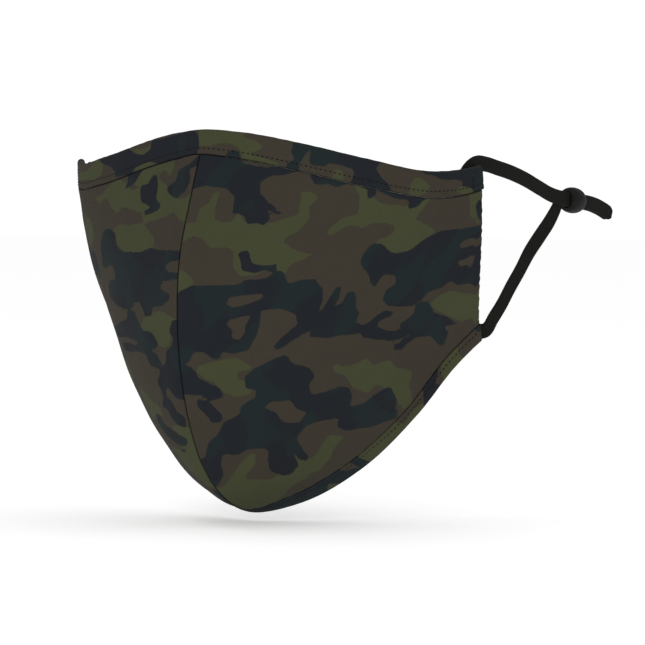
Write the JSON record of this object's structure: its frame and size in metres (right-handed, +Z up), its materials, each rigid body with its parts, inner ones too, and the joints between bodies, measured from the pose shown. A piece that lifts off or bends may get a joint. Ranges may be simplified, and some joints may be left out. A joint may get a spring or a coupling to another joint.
{
  "type": "cloth face mask",
  "caption": "Camouflage-print cloth face mask with a curved centre seam, folded edge bands, a nose wire and flat elastic ear loops tightened by sliding beads.",
  "frame": {"origin": "middle of the opening that the face goes into, half way up the mask and between its side edges", "axes": "+Z up as worn, +Y back towards the wearer's head, +X to the wearer's left"},
  "size_m": [0.196, 0.1805, 0.139],
  "materials": {
    "printed_cloth": "matt printed polyester-cotton, brown, olive and blue-black camouflage",
    "interlining": "plain off-white filter cloth",
    "lining": "soft black cotton",
    "nose_wire": "plain soft aluminium strip",
    "elastic": "knitted flat black elastic",
    "bead": "satin black silicone rubber"
  },
  "bodies": {
    "root": {"outer_panel_left": "printed_cloth", "outer_panel_right": "printed_cloth", "top_band": "printed_cloth", "bottom_band": "printed_cloth", "interlining_left": "interlining", "interlining_right": "interlining", "lining_left": "lining", "lining_right": "lining", "nose_wire": "nose_wire", "strap_end_upper_left": "elastic", "strap_end_lower_left": "elastic", "strap_end_upper_right": "elastic", "strap_end_lower_right": "elastic"},
    "loop_left": {"strand_upper_left": "elastic", "strand_lower_left": "elastic", "strap_tail_left": "elastic"},
    "slider_left": {"bead_left": "bead"},
    "loop_right": {"strand_upper_right": "elastic", "strand_lower_right": "elastic", "strap_tail_right": "elastic"},
    "slider_right": {"bead_right": "bead"}
  },
  "joints": [
    {"name": "ear_loop_left_swing", "type": "hinge", "parent": "root", "child": "loop_left", "pos_m": [0.0788, 0.0045, 0.0523], "axis": [0.0668, -0.3123, 0.9476], "range_deg": [-80, 60], "stiffness_Nm_per_rad": 0.02, "deforming": ["strand_upper_left", "strand_lower_left"]},
    {"name": "bead_left_slide", "type": "slide", "parent": "loop_left", "child": "slider_left", "axis": [0.166, 0.9829, -0.08], "range_m": [-0.014, 0.012], "deforming": ["strap_tail_left"]},
    {"name": "ear_loop_right_swing", "type": "hinge", "parent": "root", "child": "loop_right", "pos_m": [-0.0788, 0.0045, 0.0507], "axis": [-0.0684, -0.3198, 0.945], "range_deg": [-60, 80], "stiffness_Nm_per_rad": 0.02, "deforming": ["strand_upper_right", "strand_lower_right"]},
    {"name": "bead_right_slide", "type": "slide", "parent": "loop_right", "child": "slider_right", "axis": [-0.166, 0.9829, -0.08], "range_m": [-0.014, 0.012], "deforming": ["strap_tail_right"]}
  ]
}
